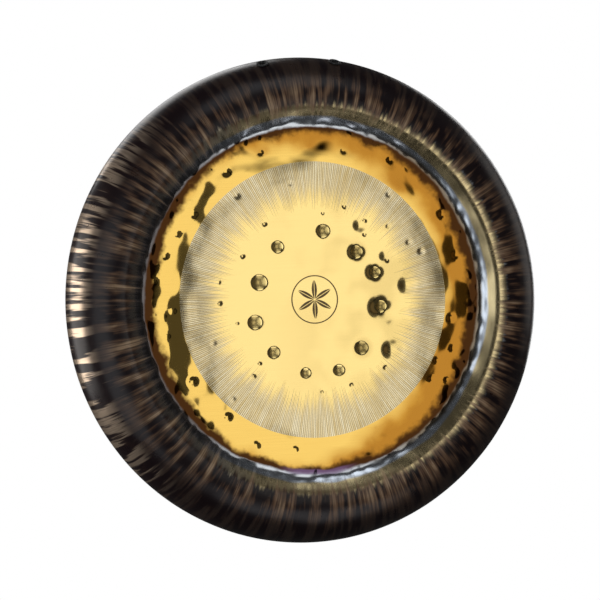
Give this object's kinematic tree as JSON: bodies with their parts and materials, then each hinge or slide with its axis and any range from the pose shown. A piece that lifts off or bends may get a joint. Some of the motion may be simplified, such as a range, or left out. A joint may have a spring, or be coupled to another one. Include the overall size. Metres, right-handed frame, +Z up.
{
  "type": "tam tam gong",
  "caption": "Round hammered gong with a gently domed bright face, a raised rounded bow, a turned-back rim and rubber-lined hanging holes.",
  "frame": {"origin": "midway between the centres of the hanging holes in the rim, where the cord carries the gong", "axes": "+Z is up, the struck face looks along -Y, and +Y points out of the open back, along the gong's axis"},
  "size_m": [0.61, 0.07, 0.61],
  "materials": {
    "bronze_sheet": "hammered, polished gold face with a satin engraved ring, and a dark heat-coloured bow with brown streaks",
    "grommet_rubber": "moulded, satin black"
  },
  "bodies": {
    "root": {"gong_disc": "bronze_sheet", "grommet_left": "grommet_rubber", "grommet_right": "grommet_rubber"}
  },
  "joints": []
}
